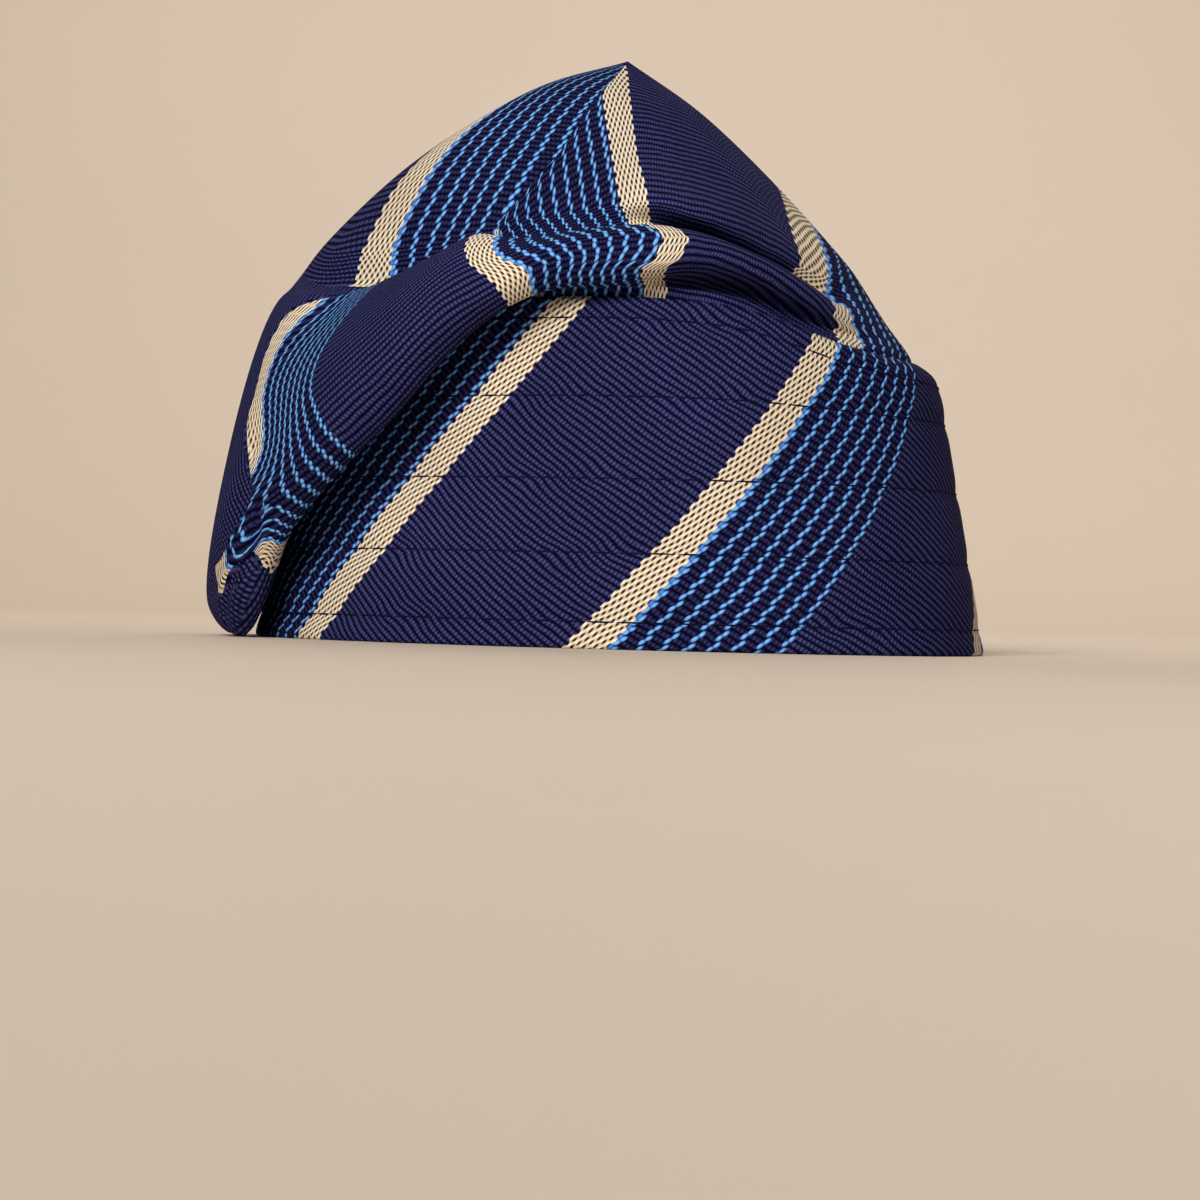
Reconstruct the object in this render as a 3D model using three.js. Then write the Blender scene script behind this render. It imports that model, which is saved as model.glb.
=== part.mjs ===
// Fila cap: a stitched oval band and a soft hollow crown that folds over it.
// Millimetres, +Z up, the wearer's front along -Y and the wearer's left along +X.
// An azimuth is in degrees round the cap's axis: 0 at the front, 90 at the wearer's left.
import * as THREE from "three";
import { mergeVertices } from "three/addons/utils/BufferGeometryUtils.js";

// Driving dimensions
const RIM_LENGTH = 203; // outside, front to back
const RIM_WIDTH = 167; // outside, side to side
const WALL_LEAN = 0.00205; // share of the rim's reach that the wall loses in a millimetre of height
const PEAK_HEIGHT = 146;
const BAND_CLOTH = 2.4; // the band is two layers, stitched together
const CROWN_CLOTH = 1.4;
const SEAM_GAP = 0.4; // between the crown and the band that it is sewn in
const TUCK_DEPTH = 11; // how far the crown's hem reaches down inside the band
const EDGE_ROUNDING = 6; // height over which the band's top edge curls inwards
const CURL_POWER = 2.5;

// Fineness of the two meshes
const FOLDED_SIDE = { from: -134, to: -2, step: 4 }; // azimuths that hold the lobe, the pleat and the roll
const PLAIN_SIDE = { from: -2, to: 226, step: 7.6 };
const WALL_STEPS = 3;
const CURL_STEPS = 4;

// The band's top edge: its height, and how far it curls in from the leaning wall.
const EDGE = [
  { azimuth: -168, height: 73, curl: 3 },
  { azimuth: -128, height: 76, curl: 1.5 },
  { azimuth: -83, height: 80, curl: 1.2 },
  { azimuth: -53, height: 81.3, curl: 1.2 },
  { azimuth: -28, height: 80.8, curl: 1.2 },
  { azimuth: -18, height: 79.3, curl: 1.2 },
  { azimuth: -10, height: 76.2, curl: 1.5 },
  { azimuth: -2, height: 73, curl: 2.5 },
  { azimuth: 8, height: 71, curl: 3.5 },
  { azimuth: 27, height: 70, curl: 4 },
  { azimuth: 57, height: 70, curl: 4 },
  { azimuth: 102, height: 70, curl: 4 },
  { azimuth: 152, height: 71, curl: 4 },
];

// The crown's cloth runs from its hem to its peak through these lines, with so many steps after each.
const STEPS_AFTER = {
  tuck: 1,
  mouth: 2,
  turn: 2,
  shoulder: 2,
  hollow: 3,
  lip: 3,
  belly: 3,
  flank: 3,
  crest: 3,
  valley: 2,
  rise: 3,
  slope: 3,
  brow: 2,
};

// The folds, a row for each section: its azimuth, then a stand-off from the leaning wall and a height
// for each of the named lines. The underside goes from the band's edge out to the lowest line of the fold.
const UNDERSIDE_LINES = ["turn", "shoulder", "hollow", "lip"];
const UNDERSIDE = [
  [-164, [-2.5, 76.4], [2, 71], [3, 56], [6, 36]],
  [-146, [-2, 77.8], [2, 72], [3.5, 42], [5, 8]],
  [-130, [-2, 79], [2, 73], [4.5, 40], [6, 1]],
  [-120, [-1.8, 79.7], [2, 74], [5, 40], [7, 0.8]],
  [-112, [-1.8, 80.4], [2, 74.5], [5.5, 42], [7.5, 0.8]],
  [-106, [-1.8, 80.9], [2, 75], [6, 46], [9, 8]],
  [-100, [-1.8, 81.5], [2, 75.5], [6.2, 50], [11.5, 20]],
  [-92, [-1.8, 82.2], [2, 76], [6.5, 54], [13.7, 29.5]],
  [-83, [-1.8, 83], [2, 77], [7, 60], [15, 40]],
  [-73, [-1.7, 83.5], [2, 77.5], [7, 68], [15, 53]],
  [-65, [-1.6, 83.9], [2, 78], [6.5, 74.5], [14, 67]],
  [-57, [-1.5, 84.1], [1.8, 80.5], [6.3, 79.5], [12.5, 77]],
  [-49, [-1.3, 84.2], [1.6, 83.2], [5.5, 82.3], [10.5, 81.5]],
  [-41, [-1.3, 84], [1.4, 83.8], [4.5, 83], [8.8, 82.8]],
  [-33, [-1.5, 83.9], [0.8, 84], [2.8, 83.8], [6.3, 84]],
  [-25, [-3, 83], [-1.5, 83.6], [-0.5, 83.9], [2.8, 84.6]],
  [-16, [-4.5, 81], [-4.5, 82], [-4, 82.5], [-1.5, 83]],
  [-6, [-5.5, 75.5], [-6.1, 76.8], [-6, 78], [-4.9, 79.3]],
  [6, [-6, 73], [-7, 74], [-7.8, 75], [-8, 76.2]],
  [22, [-6.3, 72], [-7.4, 74], [-8.4, 75.5], [-9.4, 77]],
  [52, [-5.8, 72], [-6.5, 74], [-7.3, 76], [-8.2, 79]],
  [74, [-5.3, 72], [-5.2, 74], [-5, 76], [-5, 79]],
  [96, [-5, 72], [-3.5, 74], [-1.5, 76], [0.5, 78.3]],
  [120, [-4.8, 72.5], [-3, 74.5], [-0.5, 76.2], [1.8, 78]],
  [152, [-4.5, 73.5], [-2.8, 75.2], [-0.8, 76.7], [1.2, 78.5]],
  [174, [-3, 75.3], [0.8, 75.6], [2.2, 73], [6, 69]],
];

// The upper side of the folds, from the lip up to the foot of the dome.
const UPPER_LINES = ["belly", "flank", "crest", "valley", "rise"];
const UPPER = [
  [-164, [12, 42], [11.5, 64], [6, 84], [0.5, 93.5], [-4.5, 101.5]],
  [-146, [11.5, 13], [12.5, 50], [9.5, 81], [4, 92], [-0.5, 100]],
  [-130, [13.5, 7.5], [14.5, 48], [12, 80.5], [7, 91.5], [2.5, 99.5]],
  [-120, [14.5, 7], [18, 47], [13.3, 84], [7, 88.5], [3, 96.5]],
  [-112, [16, 7.5], [20, 50], [13, 85.8], [5, 86.3], [2, 95]],
  [-106, [18, 15], [21, 54], [12.3, 86.8], [3.5, 85.3], [0.7, 94.5]],
  [-100, [19.5, 27], [21, 58], [10.5, 87.4], [1, 84.8], [-1, 94.3]],
  [-92, [20.8, 36.5], [20.5, 63.5], [8.5, 88], [-2, 85], [-3.4, 95]],
  [-83, [22.5, 47], [20.5, 71], [7, 90.3], [-4, 87], [-6, 96]],
  [-73, [22, 60], [20, 79], [7, 93.5], [-5, 90.5], [-7, 98.5]],
  [-65, [20.5, 73], [18.5, 86], [7.3, 95.6], [-5.3, 94], [-7.5, 100.5]],
  [-57, [17.5, 81.5], [16.3, 88.5], [8, 94], [-5.5, 96], [-8, 101]],
  [-49, [13.8, 85.5], [13, 91], [7.3, 95], [-5.2, 97.5], [-8, 102]],
  [-41, [11, 86.8], [10.3, 92.5], [6.3, 96.6], [-5, 99], [-8, 103.5]],
  [-33, [8.5, 87.5], [8.2, 93], [4.8, 97.3], [-5, 100.3], [-8, 105]],
  [-25, [5, 87.3], [4.8, 91.3], [1.5, 94.3], [-6.3, 94.8], [-8.8, 101]],
  [-16, [0.3, 85.3], [0, 88.6], [-2.7, 90.9], [-8, 90.8], [-10.7, 97]],
  [-6, [-3.7, 81.2], [-3.7, 84], [-6, 86], [-10.3, 86], [-12.8, 92.5]],
  [6, [-8.3, 77.7], [-9.3, 79.2], [-11.2, 80.7], [-13.3, 82], [-16, 89]],
  [22, [-10.6, 79], [-12, 81.5], [-13.8, 84.5], [-16.5, 89], [-20, 95.5]],
  [52, [-9.4, 82], [-11, 86], [-13.2, 91], [-16, 96], [-19.8, 101.7]],
  [74, [-5.2, 82], [-6.2, 86], [-8, 91], [-10.5, 96], [-14, 101.7]],
  [96, [1.5, 82], [1, 86], [-1, 91], [-4, 96], [-7.5, 102]],
  [120, [3, 81.3], [2.5, 86], [0, 90.5], [-3.5, 94.3], [-6.5, 102]],
  [152, [3, 81.5], [2.5, 86], [-0.5, 90.5], [-4, 94], [-6.5, 101.5]],
  [174, [10, 74.5], [8.5, 83], [3, 89], [-2, 95], [-6.5, 102.5]],
];

// The dome above the folds: an azimuth, then the columns slope and brow.
// Each column holds a reach from the axis, and a height.
const DOME_LINES = ["slope", "brow"];
const DOME = [
  [-163, [53, 119], [24.5, 136.7]],
  [-130, [54, 118.6], [25, 136.8]],
  [-106, [50.5, 118.5], [24.5, 137.4]],
  [-83, [45.5, 118], [23.5, 137]],
  [-53, [43.5, 118.5], [22, 135.5]],
  [-33, [44.5, 118.5], [22, 134.5]],
  [-14, [46, 115], [21.5, 133]],
  [10, [44.5, 112.5], [21, 132.5]],
  [28, [40.5, 113.5], [20, 132.5]],
  [52, [37.3, 116.4], [19, 133]],
  [92, [42, 118], [21, 135]],
  [122, [48, 119.5], [23, 136.5]],
  [152, [51, 120], [24.5, 137]],
];

// Creases that part the lobe's hanging end into two rolls.
const LOBE_REACH = 95;
const CREASE_FADE = 4; // rows over which a crease fades in above the lip
const CREASES = [
  { from: { azimuth: -98, height: 28 }, to: { azimuth: -114, height: 14 }, halfWidth: 6, depth: 3 },
  { from: { azimuth: -114, height: 14 }, to: { azimuth: -118, height: 4 }, halfWidth: 6, depth: 2.4 },
];

const FULL_TURN = 360;

// A smooth curve round the whole cap through one value of each row, read at an azimuth.
function around(rows, azimuthOf, valueOf, azimuth) {
  const count = rows.length;
  const knot = (i) => {
    const turns = Math.floor(i / count);
    const row = rows[i - turns * count];
    return new THREE.Vector2(azimuthOf(row) + turns * FULL_TURN, valueOf(row));
  };
  const first = azimuthOf(rows[0]);
  const place = first + THREE.MathUtils.euclideanModulo(azimuth - first, FULL_TURN);
  let i = 0;
  while (knot(i + 1).x <= place) {
    i += 1;
  }
  const [before, start, end, after] = [i - 1, i, i + 1, i + 2].map(knot);
  const span = end.x - start.x;
  const tangent = (a, b, c) => {
    const rising = (b.y - a.y) / (b.x - a.x);
    const leaving = (c.y - b.y) / (c.x - b.x);
    return (rising * (c.x - b.x) + leaving * (b.x - a.x)) / (c.x - a.x);
  };
  const t = (place - start.x) / span;
  const pull = 3 * t * t - 2 * t * t * t;
  const leave = (t * t * t - 2 * t * t + t) * span * tangent(before, start, end);
  const arrive = (t * t * t - t * t) * span * tangent(start, end, after);
  return start.y + (end.y - start.y) * pull + leave + arrive;
}

function edgeAt(azimuth, column) {
  return around(EDGE, (row) => row.azimuth, (row) => row[column], azimuth);
}

function lineAt(rows, column, azimuth) {
  const part = (k) => around(rows, (row) => row[0], (row) => row[1 + column][k], azimuth);
  return { offset: part(0), height: part(1) };
}

function rimReach(azimuth) {
  const turn = THREE.MathUtils.degToRad(azimuth);
  const length = RIM_LENGTH / 2;
  const width = RIM_WIDTH / 2;
  return (length * width) / Math.hypot(width * Math.cos(turn), length * Math.sin(turn));
}

// Reach of the leaning wall, which is taken to go on above the band.
function wall(azimuth, height) {
  return rimReach(azimuth) * (1 - WALL_LEAN * height);
}

function spot(azimuth, reach, height) {
  const turn = THREE.MathUtils.degToRad(azimuth);
  return new THREE.Vector3(reach * Math.sin(turn), -reach * Math.cos(turn), height);
}

// The band's outer and inner faces at a height of the outer one, as reach and height.
function bandFaces(azimuth, height) {
  const curl = edgeAt(azimuth, "curl");
  const begun = (height - edgeAt(azimuth, "height")) / EDGE_ROUNDING + 1;
  const share = THREE.MathUtils.clamp(begun, 0, 1);
  const outer = new THREE.Vector2(wall(azimuth, height) - curl * share ** CURL_POWER, height);
  const curlSlope = (curl * CURL_POWER * share ** (CURL_POWER - 1)) / EDGE_ROUNDING;
  const outward = new THREE.Vector2(1, rimReach(azimuth) * WALL_LEAN + curlSlope).normalize();
  const inner = outer.clone().addScaledVector(outward, -BAND_CLOTH);
  inner.y = Math.max(inner.y, 0);
  return { outer, inner };
}

function columnAzimuths() {
  const list = [];
  for (const { from, to, step } of [FOLDED_SIDE, PLAIN_SIDE]) {
    const count = Math.round((to - from) / step);
    for (let i = 0; i < count; i += 1) {
      list.push(from + i * step);
    }
  }
  return list;
}

const AZIMUTHS = columnAzimuths();

// A closed body through rings of equal counts, the last ring joined to the first.
function closedLoft(rings) {
  const across = rings[0].length;
  const index = [];
  rings.forEach((ring, row) => {
    const low = row * across;
    const high = ((row + 1) % rings.length) * across;
    ring.forEach((point, column) => {
      const side = (column + 1) % across;
      index.push(low + column, low + side, high + side, low + column, high + side, high + column);
    });
  });
  const geometry = new THREE.BufferGeometry().setFromPoints(rings.flat()).setIndex(index);
  const merged = mergeVertices(geometry, 1e-3);
  const corners = Array.from(merged.index.array);
  const kept = [];
  for (let i = 0; i < corners.length; i += 3) {
    const [a, b, c] = corners.slice(i, i + 3);
    if (a !== b && b !== c && c !== a) {
      kept.push(a, b, c);
    }
  }
  merged.setIndex(kept);
  merged.computeVertexNormals();
  return merged;
}

function bandGeometry() {
  const shares = [];
  for (let i = 0; i < WALL_STEPS; i += 1) {
    shares.push({ wall: i / WALL_STEPS, curl: 0 });
  }
  for (let i = 0; i <= CURL_STEPS; i += 1) {
    shares.push({ wall: 1, curl: i / CURL_STEPS });
  }
  const ring = (share, face) =>
    AZIMUTHS.map((azimuth) => {
      const straight = edgeAt(azimuth, "height") - EDGE_ROUNDING;
      const height = straight * share.wall + EDGE_ROUNDING * share.curl;
      const place = bandFaces(azimuth, height)[face];
      return spot(azimuth, place.x, place.y);
    });
  const outside = shares.map((share) => ring(share, "outer"));
  const inside = shares.map((share) => ring(share, "inner")).reverse();
  return closedLoft([...outside, ...inside]);
}

// The crown's outer face at an azimuth, as points on its named lines from the hem to the peak.
function crownLines(azimuth) {
  const top = edgeAt(azimuth, "height");
  const corner = bandFaces(azimuth, top).inner;
  const hemHeight = top - TUCK_DEPTH;
  const hemReach = bandFaces(azimuth, hemHeight).inner.x - SEAM_GAP;
  const standing = (rows) => (name, column) => {
    const { offset, height } = lineAt(rows, column, azimuth);
    return spot(azimuth, wall(azimuth, height) + offset, height);
  };
  const underside = UNDERSIDE_LINES.map(standing(UNDERSIDE));
  const upper = UPPER_LINES.map(standing(UPPER));
  const dome = DOME_LINES.map((name, column) => {
    const { offset, height } = lineAt(DOME, column, azimuth);
    return spot(azimuth, offset, height);
  });
  const hem = spot(azimuth, hemReach, hemHeight);
  const mouth = spot(azimuth, corner.x - SEAM_GAP, corner.y);
  return [hem, mouth, ...underside, ...upper, ...dome, spot(azimuth, 0, PEAK_HEIGHT)];
}

// The lobe's face laid flat: the way round it, and the height.
function flat({ azimuth, height }) {
  return new THREE.Vector3(THREE.MathUtils.degToRad(azimuth) * LOBE_REACH, height, 0);
}

function creaseDepth(azimuth, height) {
  const here = flat({ azimuth, height });
  const depths = CREASES.map(({ from, to, halfWidth, depth }) => {
    const line = new THREE.Line3(flat(from), flat(to));
    const nearest = line.closestPointToPoint(here, true, new THREE.Vector3());
    return depth * Math.exp(-((here.distanceTo(nearest) / halfWidth) ** 2));
  });
  return Math.max(...depths);
}

// Rings of the crown's outer face, from the hem to the peak.
function crownRings() {
  const steps = Object.values(STEPS_AFTER);
  const lipRow = steps.slice(0, Object.keys(STEPS_AFTER).indexOf("lip")).reduce((sum, n) => sum + n, 0);
  const profiles = AZIMUTHS.map((azimuth) => {
    const curve = new THREE.CatmullRomCurve3(crownLines(azimuth), false, "centripetal");
    const points = steps.flatMap((count, segment) =>
      Array.from({ length: count }, (_, k) => curve.getPoint((segment + k / count) / steps.length)),
    );
    points.push(curve.getPoint(1));
    return points.map((point, row) => {
      const shown = THREE.MathUtils.clamp((row - lipRow) / CREASE_FADE, 0, 1);
      const reach = Math.hypot(point.x, point.y) - shown * creaseDepth(azimuth, point.z);
      return spot(azimuth, Math.max(reach, 0), point.z);
    });
  });
  return profiles[0].map((point, row) => profiles.map((profile) => profile[row]));
}

// The same rings moved inwards by the cloth's thickness.
function liningRings(rings, thickness) {
  const across = rings[0].length;
  const last = rings.length - 1;
  const up = new THREE.Vector3(0, 0, 1);
  return rings.map((ring, row) =>
    ring.map((point, column) => {
      const around = new THREE.Vector3().subVectors(
        ring[(column + 1) % across],
        ring[(column + across - 1) % across],
      );
      const along = new THREE.Vector3().subVectors(
        rings[Math.min(row + 1, last)][column],
        rings[Math.max(row - 1, 0)][column],
      );
      const outward = row === last ? up : around.cross(along).normalize();
      return point.clone().addScaledVector(outward, -thickness);
    }),
  );
}

function crownGeometry() {
  const outside = crownRings();
  const inside = liningRings(outside, CROWN_CLOTH).reverse();
  return closedLoft([...outside, ...inside]);
}

const WOVEN_NAVY = { color: 0x24244f, roughness: 0.9, metalness: 0 };

function piece(name, geometry) {
  const mesh = new THREE.Mesh(geometry, new THREE.MeshStandardMaterial(WOVEN_NAVY));
  mesh.name = name;
  return mesh;
}

// The cap stands on its rim, with its box centred on the origin.
const cap = new THREE.Group();
cap.add(piece("band", bandGeometry()), piece("crown", crownGeometry()));
const middle = new THREE.Box3().setFromObject(cap).getCenter(new THREE.Vector3());
cap.position.set(-middle.x, -middle.y, 0);

export default cap;
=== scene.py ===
"""Dresses the solids of a soft fila cap in strip-woven cloth and sets the stage round it."""

import math

import bmesh
import bpy
import numpy as np
from bpy.props import FloatProperty, FloatVectorProperty, IntProperty, PointerProperty
from mathutils import Matrix, Vector


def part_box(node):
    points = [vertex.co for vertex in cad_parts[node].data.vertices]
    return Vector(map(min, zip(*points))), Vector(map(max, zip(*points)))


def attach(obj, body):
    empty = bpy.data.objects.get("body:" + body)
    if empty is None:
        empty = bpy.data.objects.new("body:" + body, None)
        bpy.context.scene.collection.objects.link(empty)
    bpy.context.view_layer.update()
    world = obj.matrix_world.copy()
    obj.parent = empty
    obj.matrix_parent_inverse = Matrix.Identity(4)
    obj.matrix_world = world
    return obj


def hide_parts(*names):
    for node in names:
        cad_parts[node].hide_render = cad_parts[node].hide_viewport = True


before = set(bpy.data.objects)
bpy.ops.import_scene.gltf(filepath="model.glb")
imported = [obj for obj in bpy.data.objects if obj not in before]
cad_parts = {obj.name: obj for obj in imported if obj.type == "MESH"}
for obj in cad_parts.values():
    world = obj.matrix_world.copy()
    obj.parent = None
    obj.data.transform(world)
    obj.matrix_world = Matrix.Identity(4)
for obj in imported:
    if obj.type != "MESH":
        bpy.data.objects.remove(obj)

bl_info = {
    "name": "Fila cap",
    "version": (1, 0, 0),
    "blender": (4, 5, 0),
    "location": "View3D > Sidebar > Fila cap",
    "description": "Dresses the solids of a soft cap in strip-woven cloth",
    "category": "Object",
}

MM = 0.001
BAND_LOW, BAND_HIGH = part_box("band")
CROWN_LOW, CROWN_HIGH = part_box("crown")
AXIS = (BAND_LOW + BAND_HIGH) / 2

# Sizes of the solids, in millimetres, as the part's source has them.
RIM_LENGTH = 203
RIM_WIDTH = 167
WALL_LEAN = 0.00205
PEAK_HEIGHT = 146
BAND_CLOTH = 2.4
CROWN_CLOTH = 1.4
SEAM_GAP = 0.4
TUCK_DEPTH = 11
EDGE_ROUNDING = 6
CURL_POWER = 2.5

# The band's top edge: azimuth, height, and how far it curls in from the leaning wall.
EDGE = [
    (-168, 73, 3),
    (-128, 76, 1.5),
    (-83, 80, 1.2),
    (-53, 81.3, 1.2),
    (-28, 80.8, 1.2),
    (-18, 79.3, 1.2),
    (-10, 76.2, 1.5),
    (-2, 73, 2.5),
    (8, 71, 3.5),
    (27, 70, 4),
    (57, 70, 4),
    (102, 70, 4),
    (152, 71, 4),
]

# The folds: an azimuth, then a stand-off from the leaning wall and a height on each line.
# The underside has the lines turn, shoulder, hollow and lip.
UNDERSIDE = [
    (-164, (-2.5, 76.4), (2, 71), (3, 56), (6, 36)),
    (-146, (-2, 77.8), (2, 72), (3.5, 42), (5, 8)),
    (-130, (-2, 79), (2, 73), (4.5, 40), (6, 1)),
    (-120, (-1.8, 79.7), (2, 74), (5, 40), (7, 0.8)),
    (-112, (-1.8, 80.4), (2, 74.5), (5.5, 42), (7.5, 0.8)),
    (-106, (-1.8, 80.9), (2, 75), (6, 46), (9, 8)),
    (-100, (-1.8, 81.5), (2, 75.5), (6.2, 50), (11.5, 20)),
    (-92, (-1.8, 82.2), (2, 76), (6.5, 54), (13.7, 29.5)),
    (-83, (-1.8, 83), (2, 77), (7, 60), (15, 40)),
    (-73, (-1.7, 83.5), (2, 77.5), (7, 68), (15, 53)),
    (-65, (-1.6, 83.9), (2, 78), (6.5, 74.5), (14, 67)),
    (-57, (-1.5, 84.1), (1.8, 80.5), (6.3, 79.5), (12.5, 77)),
    (-49, (-1.3, 84.2), (1.4, 83.4), (4.4, 82.7), (8.8, 83)),
    (-41, (-1.3, 84), (1, 83.9), (3, 83.5), (6.8, 84.2)),
    (-33, (-1.7, 83.9), (-1.6, 84.4), (-1.6, 85.2), (5, 86)),
    (-25, (-3.2, 83), (-6, 84), (-7, 85.6), (1, 87.6)),
    (-16, (-4.7, 81), (-9, 82.2), (-10.5, 83.8), (-2.8, 85.8)),
    (-6, (-5.7, 75.5), (-9.6, 77), (-11, 79), (-5.2, 81.2)),
    (6, (-6, 73), (-7.6, 74.2), (-8.8, 75.4), (-8, 76.5)),
    (22, (-6.3, 72), (-7.4, 74), (-8.4, 75.5), (-9.4, 77)),
    (52, (-5.8, 72), (-6.5, 74), (-7.3, 76), (-8.2, 79)),
    (74, (-5.3, 72), (-5.2, 74), (-5, 76), (-5, 79)),
    (96, (-5, 72), (-3.5, 74), (-1.5, 76), (0.5, 78.3)),
    (120, (-4.8, 72.5), (-3, 74.5), (-0.5, 76.2), (1.8, 78)),
    (152, (-4.5, 73.5), (-2.8, 75.2), (-0.8, 76.7), (1.2, 78.5)),
    (174, (-3, 75.3), (0.8, 75.6), (2.2, 73), (6, 69)),
]

# The upper side of the folds has the lines belly, flank, crest, valley and rise.
UPPER = [
    (-164, (12, 42), (11.5, 64), (6, 84), (0.5, 93.5), (-4.5, 101.5)),
    (-146, (11.5, 13), (12.5, 50), (9.5, 81), (4, 92), (-0.5, 100)),
    (-130, (13.5, 7.5), (14.5, 48), (12, 80.5), (7, 91.5), (2.5, 99.5)),
    (-120, (14.5, 7), (18, 47), (13.3, 83.2), (7, 88.5), (3, 96.5)),
    (-112, (16, 7.5), (20, 50), (13, 83.4), (5, 86.3), (2, 95)),
    (-106, (18, 15), (21, 54), (12.3, 83), (3.5, 85.6), (0.7, 94.5)),
    (-100, (19.5, 27), (21, 58), (10.5, 82.8), (1, 85.2), (-1, 94.3)),
    (-92, (20.8, 36.5), (20.5, 63), (9, 83.4), (-2, 85.5), (-3.4, 95)),
    (-83, (22.5, 47), (20.5, 69.5), (8, 86.6), (-4, 87), (-6, 96)),
    (-73, (22, 60), (20, 78.3), (7.3, 91.6), (-5, 90.5), (-7, 98.5)),
    (-65, (20.5, 73), (18.5, 86), (7.3, 95.6), (-5.3, 94), (-7.5, 100.5)),
    (-57, (17.5, 81.5), (16.3, 88.5), (8, 94), (-5.5, 96), (-8, 101)),
    (-49, (13.4, 88), (12.9, 92), (7.3, 95), (-5.2, 97.5), (-8, 102)),
    (-41, (10.4, 89), (10.2, 93), (6.3, 96.6), (-7, 99.2), (-7.6, 103.5)),
    (-33, (8.5, 88.4), (8.2, 93), (4.8, 97.3), (-11, 99.6), (-5.6, 104.2)),
    (-25, (4.5, 89.9), (4.8, 93), (1.8, 96.2), (-14, 97.2), (-4.6, 101.2)),
    (-16, (0.3, 87.6), (0.3, 90.4), (-2.5, 92.9), (-16, 93.2), (-7.6, 97.6)),
    (-6, (-3.4, 82.7), (-3.4, 85.4), (-6, 87.9), (-16.5, 88.4), (-10.6, 92.8)),
    (6, (-8, 78.3), (-8.7, 80.6), (-11, 82.8), (-15, 83.5), (-15.4, 89.6)),
    (22, (-10.6, 79), (-12, 81.5), (-13.8, 84.5), (-16.5, 89), (-20, 95.5)),
    (52, (-9.4, 82), (-11, 86), (-13.2, 91), (-16, 96), (-19.8, 101.7)),
    (74, (-5.2, 82), (-6.2, 86), (-8, 91), (-10.5, 96), (-14, 101.7)),
    (96, (1.5, 82), (1, 86), (-1, 91), (-4, 96), (-7.5, 102)),
    (120, (3, 81.3), (2.5, 86), (0, 90.5), (-3.5, 94.3), (-6.5, 102)),
    (152, (3, 81.5), (2.5, 86), (-0.5, 90.5), (-4, 94), (-6.5, 101.5)),
    (174, (10, 74.5), (8.5, 83), (3, 89), (-2, 95), (-6.5, 102.5)),
]

# The dome has the lines slope and brow: a reach from the axis and a height on each.
DOME = [
    (-163, (53, 119), (24.5, 136.7)),
    (-130, (54, 118.6), (25, 136.8)),
    (-106, (50.5, 118.5), (24.5, 137.4)),
    (-83, (45.5, 118), (23.5, 137)),
    (-53, (43.5, 118.5), (22, 135.5)),
    (-33, (44.5, 118.5), (22, 134.5)),
    (-14, (46, 115), (21.5, 133)),
    (10, (44.5, 112.5), (21, 132.5)),
    (28, (40.5, 113.5), (20, 132.5)),
    (52, (37.3, 116.4), (19, 133)),
    (92, (42, 118), (21, 135)),
    (122, (48, 119.5), (23, 136.5)),
    (152, (51, 120), (24.5, 137)),
]

# The crown's lines from its hem to its peak, with the steps of the cloth's mesh after each.
CROWN_STEPS = {
    "hem": 3,
    "mouth": 3,
    "turn": 4,
    "shoulder": 5,
    "hollow": 8,
    "lip": 11,
    "belly": 22,
    "flank": 14,
    "crest": 12,
    "valley": 9,
    "rise": 12,
    "slope": 12,
    "brow": 10,
}
LINES = list(CROWN_STEPS)

# Where the dart's seam runs on the crown: an azimuth on each line from the valley to the peak.
DART = {"valley": -69.5, "rise": -67.5, "slope": -59.7, "brow": -54, "peak": -51}
DART_AT_FOLD = -70

# Creases of the lobe's hanging end: from and to an azimuth and a height, half width and depth.
CREASES = [
    ((-98, 28), (-114, 14), 6, 1.6),
    ((-114, 14), (-118, 4), 6, 1.6),
    ((-98.3, 31), (-102.5, 19), 2, 2.8),
    ((-102.5, 19), (-108.1, 13.2), 2.2, 3),
    ((-108.1, 13.2), (-114, 4), 2.4, 3),
]
LOBE_REACH = 95

# Where the lobe's stripes end on the left, at the fold over the cloth behind and above it along
# the beige stripe: heights and azimuths up the lobe.
LOBE_LEFT = [
    (0, -121),
    (12, -119),
    (17, -116),
    (21, -110.7),
    (25.3, -105.5),
    (29.6, -102.3),
    (33.9, -99.6),
    (37.7, -99.8),
    (41.5, -100.8),
    (47.4, -103.6),
    (52.6, -106.1),
    (58.7, -106.2),
    (66.6, -108.2),
    (71.8, -110.5),
    (76.2, -109.8),
    (79.4, -106.7),
    (81.5, -103.2),
    (82.3, -97.9),
    (82.8, -94),
]
LOBE_FROM = -75  # azimuth at which the plain cloth in front of the lobe's stripes starts
LOBE_DRAW = 1.6  # how much closer together the lobe's beads lie
LOBE_LAST = -99.2  # millimetres across the cloth at which the lobe's last stripe ends
PLAIN_FROM = -150  # azimuth behind at which the plain cloth beside the lobe starts
SPLIT = 1.7  # half width of the crease that splits it
TAIL_FOLD = 39  # height of the upper end of the fold
TAIL_STEP = 2.6  # how far the cloth behind the fold lies under it


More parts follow.
